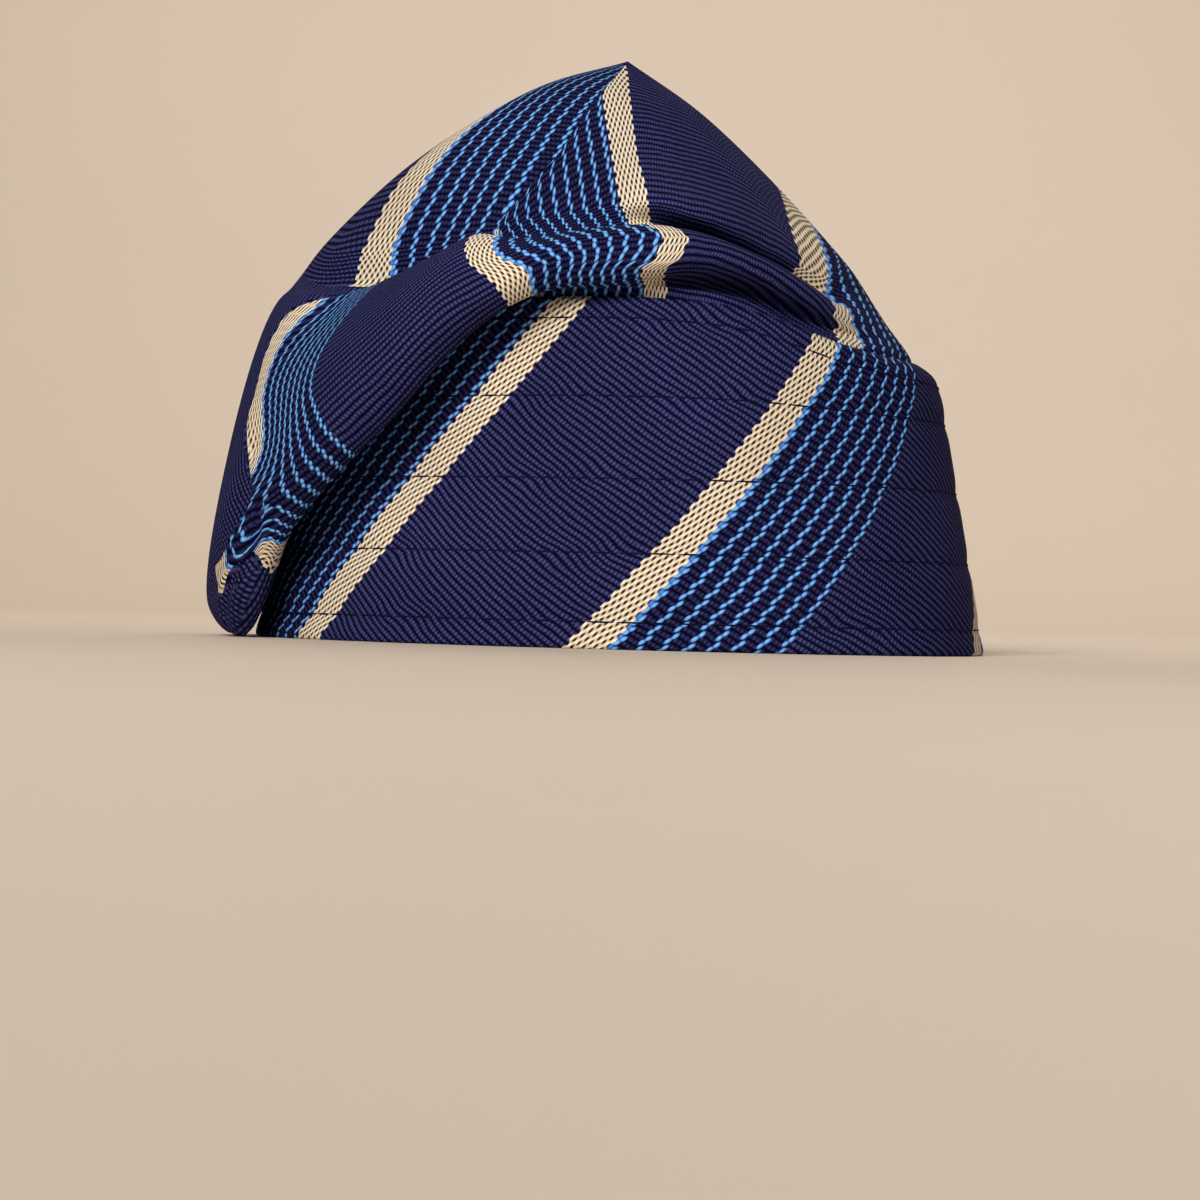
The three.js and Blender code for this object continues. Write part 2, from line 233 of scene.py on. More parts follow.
def around(rows, azimuth):
    """The values of a table's rows on a smooth curve round the whole cap, read at azimuths."""
    table = np.array([np.hstack(row) for row in rows], float)
    turn = np.zeros(table.shape[1])
    turn[0] = 360
    knots = np.vstack([table[-2:] - turn, table, table[:2] + turn])
    place = knots[:, 0]
    step = np.diff(place)
    slope = np.diff(knots, axis=0) / step[:, None]
    tangent = slope[:-1] * step[1:, None] + slope[1:] * step[:-1, None]
    tangent /= (step[:-1] + step[1:])[:, None]
    at = table[0, 0] + np.mod(azimuth - table[0, 0], 360)
    i = np.searchsorted(place, at, side="right") - 1
    t = ((at - place[i]) / step[i])[..., None]
    span = step[i][..., None]
    pull = 3 * t**2 - 2 * t**3
    leave = (t**3 - 2 * t**2 + t) * span * tangent[i - 1]
    arrive = (t**3 - t**2) * span * tangent[i]
    return (knots[i] + (knots[i + 1] - knots[i]) * pull + leave + arrive)[..., 1:]


def rim_reach(azimuth):
    turn = np.radians(azimuth)
    length, width = RIM_LENGTH / 2, RIM_WIDTH / 2
    return length * width / np.hypot(width * np.cos(turn), length * np.sin(turn))


def wall(azimuth, height):
    """Reach of the leaning wall, which is taken to go on above the band."""
    return rim_reach(azimuth) * (1 - WALL_LEAN * height)


def band_faces(azimuth, height):
    """Reach and height of the band's outer and inner faces, at a height of the outer one."""
    top, curl = around(EDGE, azimuth).T
    share = np.clip((height - top) / EDGE_ROUNDING + 1, 0, 1)
    reach = wall(azimuth, height) - curl * share**CURL_POWER
    steep = rim_reach(azimuth) * WALL_LEAN
    steep = steep + curl * CURL_POWER * share ** (CURL_POWER - 1) / EDGE_ROUNDING
    length = np.hypot(1, steep)
    inner = reach - BAND_CLOTH / length
    return reach, inner, np.maximum(height - BAND_CLOTH * steep / length, 0)


def crown_profile(azimuth):
    """Reach and height on each of the crown's lines, from the hem to the peak."""
    top = around(EDGE, azimuth)[..., 0]
    inner, level = band_faces(azimuth, top)[1:]
    hem = band_faces(azimuth, top - TUCK_DEPTH)[1]
    rows = [(hem - SEAM_GAP, top - TUCK_DEPTH), (inner - SEAM_GAP, level)]
    folds = np.concatenate([around(UNDERSIDE, azimuth), around(UPPER, azimuth)], axis=-1)
    for offset, height in zip(folds.T[0::2], folds.T[1::2]):
        rows.append((wall(azimuth, height) + offset, height))
    dome = around(DOME, azimuth).T
    rows += [(dome[0], dome[1]), (dome[2], dome[3])]
    rows.append((np.zeros_like(azimuth), np.full_like(azimuth, PEAK_HEIGHT)))
    return np.array(rows)


def between(points, segment, share):
    """A point of the centripetal curve through a column's points, part of the way along a segment."""
    last = len(points) - 1
    start, end = points[segment], points[segment + 1]
    before = points[segment - 1] if segment else 2 * start - end
    after = points[segment + 2] if segment + 2 <= last else 2 * end - start
    gap = [np.maximum(np.hypot(*(b - a)) ** 0.5, 1e-4) for a, b in
           ((before, start), (start, end), (end, after))]
    leave = (start - before) / gap[0] - (end - before) / (gap[0] + gap[1]) + (end - start) / gap[1]
    arrive = (end - start) / gap[1] - (after - start) / (gap[1] + gap[2]) + (after - end) / gap[2]
    leave, arrive = leave * gap[1], arrive * gap[1]
    t = share
    blend = start + leave * t + (3 * (end - start) - 2 * leave - arrive) * t**2
    return blend + (2 * (start - end) + leave + arrive) * t**3


def crease_gap(azimuth, height, start, end):
    """Millimetres from a crease's line to places on the lobe."""
    here = np.array([np.radians(azimuth) * LOBE_REACH, height])
    a = np.array([math.radians(start[0]) * LOBE_REACH, start[1]])[:, None]
    b = np.array([math.radians(end[0]) * LOBE_REACH, end[1]])[:, None]
    along = np.clip(((here - a) * (b - a)).sum(0) / ((b - a) ** 2).sum(), 0, 1)
    return np.hypot(*(here - a - (b - a) * along))


def crease_depth(azimuth, height):
    depths = [depth * np.exp(-((crease_gap(azimuth, height, start, end) / half_width) ** 2))
              for start, end, half_width, depth in CREASES]
    return np.max(depths, axis=0)


def left_of_lobe(azimuth, height):
    """Millimetres to the left of the lobe's stripes, below 0 on them."""
    level, at = np.array(LOBE_LEFT).T
    return np.radians(np.interp(height, level, at) - azimuth) * LOBE_REACH


def fold_step(azimuth, height):
    """How far the cloth beside the tail's fold lies behind it."""
    left = left_of_lobe(azimuth, height)
    near = np.clip((TAIL_FOLD - height) / 8, 0, 1) * np.exp(-((left / 9) ** 2))
    return TAIL_STEP * near * np.clip(left / 1.6 + 0.4, 0, 1)


def spots(azimuth, reach, height):
    """Places in the part's frame, in metres, from azimuths, reaches and heights."""
    turn = np.radians(azimuth)
    places = np.array([reach * np.sin(turn), -reach * np.cos(turn), height]).T * MM
    return places + np.array([AXIS.x, AXIS.y, 0])


# ---- the crown's cloth -------------------------------------------------------------------------

BACK_CUT = -250  # azimuth at which the crown's cloth is joined behind
FOLDED = (-140.4, 4)  # azimuths of the folds, where the columns of the mesh stand closer
FOLDED_STEP = 0.8
PLAIN_STEP = 2.5
SEAM_DENT = 0.5  # depth of the groove along a seam

# Where the weave's stripes lie on the crown, as the photograph shows them: an azimuth, a place
# between the crown's lines (0 at the hem, 13 at the peak) and the millimetres across the cloth.
MAIN_STRIPES = [
    (-53.5, 12.0, 49.3), (-45.2, 11.3, 49.3), (-41.5, 10.7, 49.3), (-39.3, 10.2, 49.3),
    (-33.2, 12.7, 57.8), (-34.3, 11.6, 57.8), (-34.2, 10.9, 57.8), (-33.4, 10.2, 57.8),
    (-62.9, 10.0, 18.1), (-55.6, 10.0, 26.7), (-48.4, 9.8, 35.4), (-41.6, 9.5, 44.0), (-33.2, 9.3, 57.8),
    (-57.9, 10.7, 31.0), (-58.4, 11.0, 35.4), (-51.1, 10.8, 39.7), (-55.4, 11.2, 39.7),
    (-46.8, 10.7, 44.0), (-51.3, 11.2, 44.0), (-56.2, 11.6, 44.0), (-42.7, 10.7, 48.3),
    (-31.8, 7.5, 49.3), (-32.7, 6.6, 49.3), (-36.4, 5.7, 49.3),
    (-27.3, 7.3, 57.8), (-29.6, 6.1, 57.8), (-32.0, 5.1, 57.8),
    (-65.5, 7.6, 0), (-62.1, 7.0, 0), (-57.7, 6.4, 0), (-56.7, 5.9, 0),
    (-59.8, 7.7, 8.5), (-58.1, 7.3, 8.5), (-52.9, 6.3, 8.5),
    (-49.9, 6.1, 13.8), (-47.4, 6.0, 18.1), (-43.0, 5.9, 26.7),
    (-103.2, 7.9, -99.2), (-106.7, 7.8, -99.2), (-109.5, 7.65, -99.2), (-108.2, 7.4, -99.2), (-106.2, 7.1, -99.2),
    (-106.1, 7.0, -99.2), (-103.6, 6.8, -99.2), (-100.8, 6.5, -99.2),
    (-94.1, 7.9, -88), (-99.5, 7.9, -90.7), (-102.8, 7.8, -90.7), (-104.1, 7.6, -90.7), (-104.4, 7.45, -90.7),
    (-104.1, 7.3, -90.7), (-103.1, 7.1, -90.7), (-102.1, 7.0, -90.7), (-100.1, 6.8, -90.7), (-98.4, 6.6, -90.7),
    (-96.5, 6.4, -90.7), (-100.0, 6.4, -95),
    (-90.2, 7.85, -70), (-92.0, 7.55, -70), (-94.0, 7.3, -70),
    (-85.3, 7.8, -54.2), (-86.8, 7.65, -54.2), (-87.3, 7.45, -54.2), (-88.4, 7.25, -54.2), (-88.2, 7.0, -54.2),
    (-88.3, 6.75, -54.2), (-84.3, 6.45, -54.2), (-80.8, 5.95, -54.2), (-79.5, 5.4, -54.2),
    (-84.8, 5.3, -64), (-88.4, 5.7, -67), (-92.3, 5.7, -74), (-97.1, 5.9, -79), (-96.9, 5.5, -84),
    (-98.8, 5.5, -90.7), (-98.4, 5.1, -90.7), (-101.2, 5.5, -99.2), (-100.2, 5.2, -99.2),
    (-97.8, 6.1, -70), (-101.1, 6.2, -73), (-103.7, 6.2, -78), (-106.6, 6.2, -84), (-109.9, 6.2, -90.7),
    (-115.9, 6.2, -99.2), (-109.5, 6.1, -99.2), (-115.7, 6.0, -106), (-106.0, 5.7, -106),
    (21.0, 10.84, 112.8), (10.0, 10.6, 112.8), (3.1, 10.4, 112.8), (-4.5, 10.0, 112.8), (-4.3, 9.6, 112.8),
    (22.3, 10.35, 121.3), (17.7, 10.2, 121.3), (11.6, 10.1, 121.3), (7.9, 9.97, 121.3),
    (2.5, 8.0, 112.8), (0.6, 5.75, 112.8), (3.6, 4.7, 112.8), (11.2, 8.96, 121.3), (6.3, 5.7, 121.3), (7.5, 2.1, 121.3),
]
# The same on the flap of cloth at the left of the dart, which runs under the folds.
FLAP_STRIPES = [
    (-116.7, 11.0, -99.2), (-109.3, 10.7, -99.2), (-106.5, 10.3, -99.2), (-105.3, 10.1, -99.2), (-105.7, 9.5, -99.2),
    (-111.2, 11.4, -90.7), (-105.4, 11.2, -90.7), (-100.6, 10.8, -90.7), (-98.3, 10.5, -90.7), (-96.3, 9.8, -90.7),
    (-91.3, 10.3, -85.4), (-82.5, 10.3, -76.8), (-71.7, 10.2, -68.2),
    (-95.6, 11.0, -85.4), (-84.1, 11.0, -76.8), (-72.6, 11.0, -68.2), (-66.7, 11.0, -63.8),
    (-59.7, 11.0, -59.5), (-55.5, 11.7, -58), (-53.0, 12.2, -57.5),
]
FLAP_FROM = -119
AZIMUTH_KNOTS = (-250, -210, -175, -150, -135, -125, -117, -113, -109, -106, -103, -100, -97, -94, -89, -85.5,
                 -82, -75, -68, -61, -54, -47, -40, -33, -26, -18, -8, -2, 4, 11, 18, 26, 35, 60, 85, 110)
LINE_KNOTS = (0, 1.5, 3, 4, 5, 5.5, 5.75, 6, 6.25, 6.5, 6.75, 7, 7.25, 7.5, 7.75, 8, 9, 10, 11, 12, 13)
HOLD = 15  # how firmly the stripes are held where the tables put them
SMOOTH = 0.5  # how firmly the cloth keeps from rippling
ROUNDS = 40  # of easing the cloth flat


def hats(knots, at):
    """Cubic B-splines over knots, each column one spline read at the places."""
    ends = (knots[0],) * 3, (knots[-1],) * 3
    k = np.array(ends[0] + tuple(knots) + ends[1], float)
    at = np.clip(np.asarray(at, float), k[0], k[-1] - 1e-9)[:, None]
    made = ((k[:-1] <= at) & (at < k[1:])).astype(float)
    for degree in (1, 2, 3):
        def part(step):
            return np.divide(1, step, out=np.zeros_like(step), where=step > 0)
        low = (at - k[: -degree - 1]) * part(k[degree:-1] - k[: -degree - 1])
        high = (k[degree + 1:] - at) * part(k[degree + 1:] - k[1:-degree])
        made = low * made[:, :-1] + high * made[:, 1:]
    return made


def ripple(knots):
    """Squares of the change of slope from one spline to the next, as a matrix on their shares."""
    k = np.concatenate([[knots[0]] * 3, knots, [knots[-1]] * 3])
    middle = (k[1:-3] + k[2:-2] + k[3:-1]) / 3
    step = np.diff(middle)
    change = np.zeros((len(middle) - 2, len(middle)))
    for i, (before, after) in enumerate(zip(step[:-1], step[1:])):
        change[i, i:i + 3] = np.array([1 / before, -1 / before - 1 / after, 1 / after]) * (before + after) / 2
    return change.T @ change


def cloth_terms(azimuth, line, on_flap):
    """The terms whose sum gives a place on the crown's cloth, with those of the flap last."""
    across, along = hats(AZIMUTH_KNOTS, azimuth), hats(LINE_KNOTS, line)
    terms = (across[:, :, None] * along[:, None, :]).reshape(len(azimuth), -1)
    ramp = np.clip((azimuth - FLAP_FROM) / 50, 0, None) ** 2
    above = line - LINES.index("valley")
    flap = [on_flap * ramp * (ramp**0.5) ** i * above**j for i in range(3) for j in range(4)]
    return np.hstack([terms, np.array(flap).T])


def crown_azimuths():
    """Azimuths of the mesh's columns, from the join behind round to it again."""
    left = np.arange(BACK_CUT, FOLDED[0], PLAIN_STEP)
    folds = np.arange(FOLDED[0], FOLDED[1], FOLDED_STEP)
    right = np.arange(FOLDED[1], BACK_CUT + 360, PLAIN_STEP)
    return np.concatenate([left, folds, right])


def crown_rows():
    """The mesh's rows, each a line of the crown and a share of the way to the next."""
    rows = [(LINES.index(name), step / steps) for name, steps in CROWN_STEPS.items()
            for step in range(steps)]
    return rows + [(len(LINES) - 1, 1.0)]


def dart_azimuth(row):
    names = list(DART)
    return np.interp(sum(row) - LINES.index(names[0]), range(len(names)), list(DART.values()))


def leaning(azimuth, row):
    """The columns' azimuths on a row, turned so that one column runs down the dart's seam."""
    away = np.abs((azimuth - DART_AT_FOLD + 180) % 360 - 180)
    return azimuth + (dart_azimuth(row) - DART_AT_FOLD) * np.clip(1 - away / 180, 0, 1) ** 2


def crown_places(azimuth, row):
    """The crown's outer face on one row, at azimuths that already lean."""
    reach, height = between(crown_profile(azimuth), *row)
    shown = np.clip((sum(row) - LINES.index("lip")) / 1.3, 0, 1)
    sunk = shown * np.maximum(crease_depth(azimuth, height), fold_step(azimuth, height))
    if sum(row) > LINES.index("valley"):
        for seam in (dart_azimuth(row), BACK_CUT):
            away = np.radians((azimuth - seam + 180) % 360 - 180) * reach
            sunk = sunk + SEAM_DENT * np.exp(-((away / 1.2) ** 2)) * np.clip(reach / 20, 0, 1)
    return spots(azimuth, np.maximum(reach - sunk, 0), height)


def crown_behind(azimuth, row, across):
    """How far to the left of the lobe's stripes, or past its last one, a row's cloth lies, in millimetres."""
    height = between(crown_profile(azimuth), *row)[1]
    line = sum(row)
    seen = LINES.index("lip") + 0.3 < line <= LINES.index("valley")
    past = np.where(azimuth < -95, LOBE_LAST - across, -20)
    split = [crease_gap(azimuth, height, *crease[:2]) for crease in CREASES[-2:]]
    behind = np.maximum.reduce([left_of_lobe(azimuth, height), past, SPLIT - np.min(split, axis=0)])
    behind = np.minimum(behind, azimuth - PLAIN_FROM)
    return behind if seen else np.full_like(azimuth, -20.0)


def crown_plain_ribs(azimuth, row):
    """Millimetres across and along plain ribbed cloth that hangs straight down, on one row."""
    height = between(crown_profile(leaning(azimuth, row)), *row)[1]
    arc = np.radians(azimuth) * LOBE_REACH
    return np.stack([0.5 * arc - 0.85 * height, 0.85 * arc + 0.5 * height], -1)


def squeezed(places, across):
    """Millimetres across the cloth to a millimetre of the crown, on a grid of both."""
    east, north = (np.gradient(places, axis=axis) / MM for axis in (1, 0))
    a, b = (np.gradient(across, axis=axis) for axis in (1, 0))
    e, f, g = (east**2).sum(-1), (east * north).sum(-1), (north**2).sum(-1)
    steep = (g * a**2 - 2 * f * a * b + e * b**2) / np.maximum(e * g - f**2, 1e-6)
    return np.sqrt(np.maximum(steep, 0))


def crown_cloth_map(azimuth, rows):
    """Millimetres across and along the cloth on a grid of the crown, beside the flap and on it.

    The cloth is eased flat, with each face of a coarse grid turned as it lies best, while the
    stripes are held where the tables put them.
    """
    spans = ((BACK_CUT, -140, 5), (-140, -120, 2.5), (-120, -80, 1.6), (-80, 0, 2.5), (0, 111, 5))
    coarse = np.concatenate([np.arange(start, end - 0.1, step) for start, end, step in spans])
    parts = [5 if LINES.index("lip") <= line < LINES.index("crest") else 3 for line in range(len(LINES))]
    lines = [(line, share / count) for line, count in enumerate(parts) for share in range(count)] + [rows[-1]]
    turned = np.array([leaning(coarse, row) for row in lines])
    height = np.array([np.full_like(coarse, sum(row)) for row in lines])
    places = np.array([crown_places(turn, row) for turn, row in zip(turned, lines)]) / MM
    terms = np.vstack([cloth_terms(turned.ravel(), height.ravel(), side) for side in (0, 1)])
    dart = int(np.argmin(np.abs(coarse - DART_AT_FOLD)))
    valley = lines.index((LINES.index("valley"), 0.0))
    index = np.arange(height.size).reshape(height.shape)
    quads = []
    for part, side in ((np.s_[:, dart:], 0), (np.s_[:valley + 1, :dart + 1], 0), (np.s_[valley:, :dart + 1], 1)):
        at = index[part] + side * height.size
        corners = np.stack([at[:-1, :-1], at[:-1, 1:], at[1:, 1:], at[1:, :-1]], -1)
        quads.append(corners.swapaxes(0, 1).reshape(-1, 4))
    quads = np.concatenate(quads)
    faces = quads[:, [[0, 1, 2], [0, 2, 3]]].reshape(-1, 3)
    spot = np.tile(places.reshape(-1, 3), (2, 1))
    step = spot[np.roll(faces, -1, axis=1)] - spot[faces]
    normal = np.cross(step[:, 0], step[:, 1])
    area = np.linalg.norm(normal, axis=1, keepdims=True)
    normal /= np.maximum(area, 1e-9)
    pull = -(np.roll(step, -2, axis=1) * np.roll(step, -1, axis=1)).sum(-1) / np.maximum(area, 1e-3)
    pull = np.clip(pull / 2, 0.03, 4)
    east = np.repeat(spot[quads[:, 1]] - spot[quads[:, 0]] + spot[quads[:, 2]] - spot[quads[:, 3]], 2, axis=0)
    east -= normal * (east * normal).sum(1, keepdims=True)
    east /= np.maximum(np.linalg.norm(east, axis=1, keepdims=True), 1e-9)
    north = np.cross(normal, east)
    edges = np.stack([(step * east[:, None]).sum(-1), (step * north[:, None]).sum(-1)], -1)
    stiff = 1e-4 * np.eye(terms.shape[1])
    count = len(AZIMUTH_KNOTS) + 2, len(LINE_KNOTS) + 2
    smooth = np.kron(ripple(AZIMUTH_KNOTS), np.eye(count[1])) + np.kron(np.eye(count[0]), ripple(LINE_KNOTS))
    stiff[:len(smooth), :len(smooth)] += SMOOTH * smooth
    for some in np.array_split(np.arange(len(faces)), 150):
        stretch = (terms[np.roll(faces[some], -1, axis=1)] - terms[faces[some]]).reshape(-1, terms.shape[1])
        used = np.flatnonzero(np.abs(stretch).sum(0))
        stretch = stretch[:, used]
        stiff[np.ix_(used, used)] += (stretch * pull[some].reshape(-1, 1)).T @ stretch
    tables = ((MAIN_STRIPES, 0), (FLAP_STRIPES, 1))
    known = np.vstack([cloth_terms(*np.array(table).T[:2], side) for table, side in tables])
    wanted = np.concatenate([np.array(table)[:, 2] for table, side in tables])
    ease_across = np.linalg.inv(stiff + HOLD * known.T @ known)
    ease_along = np.linalg.inv(stiff)
    held = HOLD * known.T @ wanted
    target = edges
    for _ in range(ROUNDS):
        force = np.zeros((len(terms), 2))
        np.add.at(force, np.roll(faces, -1, axis=1), pull[..., None] * target)
        np.subtract.at(force, faces, pull[..., None] * target)
        load = terms.T @ force
        laid = np.stack([ease_across @ (load[:, 0] + held), ease_along @ load[:, 1]], -1)
        flat = terms @ laid
        flat = flat[np.roll(faces, -1, axis=1)] - flat[faces]
        level = (pull * (edges * flat).sum(-1)).sum(1)
        turn = (pull * (edges[..., 0] * flat[..., 1] - edges[..., 1] * flat[..., 0])).sum(1)
        angle = np.arctan2(turn, level)[:, None]
        target = np.stack([edges[..., 0] * np.cos(angle) - edges[..., 1] * np.sin(angle),
                           edges[..., 0] * np.sin(angle) + edges[..., 1] * np.cos(angle)], -1)
    return [np.array([cloth_terms(leaning(azimuth, row), np.full_like(azimuth, sum(row)), side) @ laid
                      for row in rows]) for side in (0, 1)]


# ---- shaders -----------------------------------------------------------------------------------


class Wire:
    """A shader socket: operators on it add Math nodes, and node() adds any other node."""

    def __init__(self, tree, socket=None):
        self.tree = tree
        self.socket = socket

    def node(self, kind, settings=None, sockets=None, output=0):
        made = self.tree.nodes.new(kind)
        for name, value in (settings or {}).items():
            setattr(made, name, value)
        for key, value in (sockets or {}).items():
            if isinstance(value, Wire):
                self.tree.links.new(value.socket, made.inputs[key])
            else:
                made.inputs[key].default_value = value
        return Wire(self.tree, made.outputs[output])

    def math(self, operation, *terms):
        return self.node("ShaderNodeMath", {"operation": operation}, dict(enumerate(terms)))

    def mix(self, low, high):
        """Colours blended by this factor."""
        return self.node("ShaderNodeMix", {"data_type": "RGBA"}, {0: self, 6: low, 7: high}, 2)

    def __add__(self, other):
        return self.math("ADD", self, other)

    def __radd__(self, other):
        return self.math("ADD", other, self)

    def __sub__(self, other):
        return self.math("SUBTRACT", self, other)

    def __rsub__(self, other):
        return self.math("SUBTRACT", other, self)

    def __mul__(self, other):
        return self.math("MULTIPLY", self, other)

    def __rmul__(self, other):
        return self.math("MULTIPLY", other, self)

    def __truediv__(self, other):
        return self.math("DIVIDE", self, other)

    def __mod__(self, other):
        return self.math("FLOORED_MODULO", self, other)

    def __gt__(self, other):
        return self.math("GREATER_THAN", self, other)

    def __lt__(self, other):
        return self.math("LESS_THAN", self, other)

    def __pow__(self, other):
        return self.math("POWER", self, other)


def linear(colour):
    """A Principled colour from an RGB property."""
    return (*colour[:3], 1.0)


def oval(aside, ahead, half_width, half_length):
    """1 in the middle of an oval, falling to 0 at its edge and outside it."""
    away = (aside / half_width) ** 2 + (ahead / half_length) ** 2
    return away.math("MAXIMUM", 1 - away, 0)


def woven(name, weave, chart):
    """Strip-woven cloth: beige and blue warp stripes on ribbed navy, laid by the piece's cloth map, with painted light
    and shade on its beads and ribs.
    """
    material = bpy.data.materials.new(name)
    material.use_nodes = True
    tree = material.node_tree
    shader = tree.nodes["Principled BSDF"]
    start = Wire(tree)
    place = start.node("ShaderNodeUVMap", {"uv_map": "cloth"})
    split = place.node("ShaderNodeSeparateXYZ", None, {0: place}).socket.node
    drift = place.node("ShaderNodeTexNoise", None, {"Vector": place, "Scale": 90, "Detail": 2}, 1)
    drifts = drift.node("ShaderNodeSeparateXYZ", None, {0: drift}).socket.node
    across = Wire(tree, split.outputs[0]) * 1000 + (Wire(tree, drifts.outputs[0]) - 0.5) * 0.9
    along = Wire(tree, split.outputs[1]) * 1000 + (Wire(tree, drifts.outputs[1]) - 0.5) * 1.4
    tucked = start.node("ShaderNodeAttribute", {"attribute_name": "tucked"}, None, 2)
    front = tucked < 0.001
    squeeze = start.node("ShaderNodeAttribute", {"attribute_name": "squeeze"}, None, 2)
    squeeze = squeeze.math("MINIMUM", squeeze.math("MAXIMUM", squeeze, 1), 1.4)
    draw = start.node("ShaderNodeAttribute", {"attribute_name": "draw"}, None, 2)
    draw = draw.math("MAXIMUM", draw, 1)

    wide = weave.beige_width
    second, third = chart["beiges"]
    spot = across % chart["period"]
    past_second = spot > second - 0.5
    past_third = spot > third - 0.5
    in_beige = spot - past_second * second - past_third * (third - second)
    in_lines = spot - wide - past_third * third
    first_lines, last_lines = (weave.line_pitch * (count - 1) + weave.line_width for count in chart["lines"])
    lines = front * (in_lines > 0) * (in_lines < past_third * (last_lines - first_lines) + first_lines)
    period = 2 * weave.rib_pitch
    picks = along / period

    speck = place.node("ShaderNodeTexNoise", None, {"Vector": place, "Scale": 1900, "Detail": 1})

    # Beige: pale ends side by side; where each goes under a pick its pit is painted with shadow, and the sides round
    # the pit with shade.
    ends = in_beige * (weave.beige_ends / wide)
    end = ends.math("FLOOR", ends)
    aside = ends - end - 0.5
    under = picks + end * 0.5
    under = under.math("FRACT", under) - 0.5
    aside = aside - under * 0.6
    # Each pit is a dip in the bump, and its colour is painted shadow.
    pit = (oval(aside, under, 0.52, 0.23) * (speck + 0.6)) ** 0.6
    # Painted shade on the ends' sides round each pit.
    side_shade = oval(aside, under, 0.8, 0.45) ** 0.7
    left_end = picks.math("FRACT", picks) - 0.5
    right_end = (picks + 0.5).math("FRACT", picks + 0.5) - 0.5
    beige = front * (in_beige > oval(0, left_end, 1, 0.28) * 0.75 + 0.05)
    beige = beige * (in_beige + oval(0, right_end, 1, 0.28) * 0.55 < wide + 0.05)
    shown = pit.mix(side_shade.mix(linear(weave.beige), linear(weave.beige_side_shade)), linear(weave.beige_pit_shade))

    # Blue: two ends to a line, so that their beads make a chain, each painted with a highlight along its middle and
    # with shade at its sides.
    in_line = (in_lines + 1) % weave.line_pitch - 1 - weave.line_width / 2
    chain = None
    for side, phase in ((-1, 0), (1, 0.5)):
        ahead = picks * draw + phase
        ahead = (ahead.math("FRACT", ahead) - 0.5) * period
        one = oval((in_line - side * weave.line_width * 0.2 - ahead * 0.2) / squeeze, ahead, 0.54, 1.06)
        edge = oval(in_lines - 0.15, ahead, 0.55, 1.0)
        chain = one if chain is None else one.math("MAXIMUM", chain, one)
        strip = edge if side < 0 else edge.math("MAXIMUM", strip, edge)
    beads = chain * lines
    blue = beads.math("MAXIMUM", beads > 0.04, front * (strip > 0.1))
    # The beads are painted from the shaded side colour up to the lit top colour; the strip by the beige is its own deep
    # blue, from the same side colour, painted a little lighter along its middle.
    pale = beads.math("MAXIMUM", beads, strip * 0.35)
    blue_colour = pale.mix(linear(weave.blue_shade_and_strip), linear(weave.blue))

    # Navy: ribs across the warp, each a row of small beads, painted lighter on the beads' tops and with shade between
    # the ribs.
    rib = along / weave.rib_pitch
    rib_number = rib.math("FLOOR", rib)
    ridge = 1 - ((rib - rib_number - 0.5) / 0.5) ** 2
    navy_ends = across / weave.navy_end + rib_number * 0.5
    in_end = navy_ends.math("FRACT", navy_ends) - 0.5
    navy_bead = ridge**1.3 * (1 - 0.6 * (in_end / 0.5) ** 2)
    # Painted light and shade of the ribs: light on the beads' tops and dark in the grooves between the ribs, varied by
    # a fine random speckle.
    rib_light = (navy_bead * (speck * 1.2 + 0.4)) ** 2
    navy = rib_light.mix(linear(weave.navy_groove_shade), linear(weave.navy))
    dark = rib_light.mix(linear(weave.navy_groove_shade), linear(weave.line_ground))

    ground = lines.mix(navy, dark)
    colour = beige.mix(blue.mix(ground, blue_colour), shown)
    fade = place.node("ShaderNodeTexNoise", None, {"Vector": place, "Scale": 25, "Detail": 3})
    worn = (fade - 0.5) * 0.6 + 1
    worn = worn.node("ShaderNodeCombineColor", None, {0: worn, 1: worn, 2: worn})
    colour = colour.node("ShaderNodeMix", {"data_type": "RGBA", "blend_type": "MULTIPLY"}, {0: 1.0, 6: colour, 7: worn}, 2)
    low = navy_bead * 0.7
    height = low + blue * (0.4 + beads * 0.6 - low)
    height = height + beige * (1 - pit - height)
    bump = height.node("ShaderNodeBump", None, {"Strength": 1.0, "Distance": weave.relief, "Height": height})
    roughness = 0.8 - height * 0.2
    for key, wire in (("Base Color", colour), ("Roughness", roughness), ("Normal", bump)):
        tree.links.new(wire.socket, shader.inputs[key])
    shader.inputs["Specular IOR Level"].default_value = 0.01
    return material


def thread(name, colour):
    """Matt twisted sewing thread."""
    material = bpy.data.materials.new(name)
    material.use_nodes = True
    tree = material.node_tree
    shader = tree.nodes["Principled BSDF"]
    place = Wire(tree).node("ShaderNodeTexCoord", None, None, 3)
    ply = place.node("ShaderNodeTexNoise", None, {"Vector": place, "Scale": 2500, "Detail": 1})
    shade = ply.mix(linear([c * 0.6 for c in colour]), linear(colour))
    bump = ply.node("ShaderNodeBump", None, {"Strength": 0.6, "Distance": 0.0001, "Height": ply})
    tree.links.new(shade.socket, shader.inputs["Base Color"])
    tree.links.new(bump.socket, shader.inputs["Normal"])
    shader.inputs["Roughness"].default_value = 0.75
    shader.inputs["Specular IOR Level"].default_value = 0.02
    return material


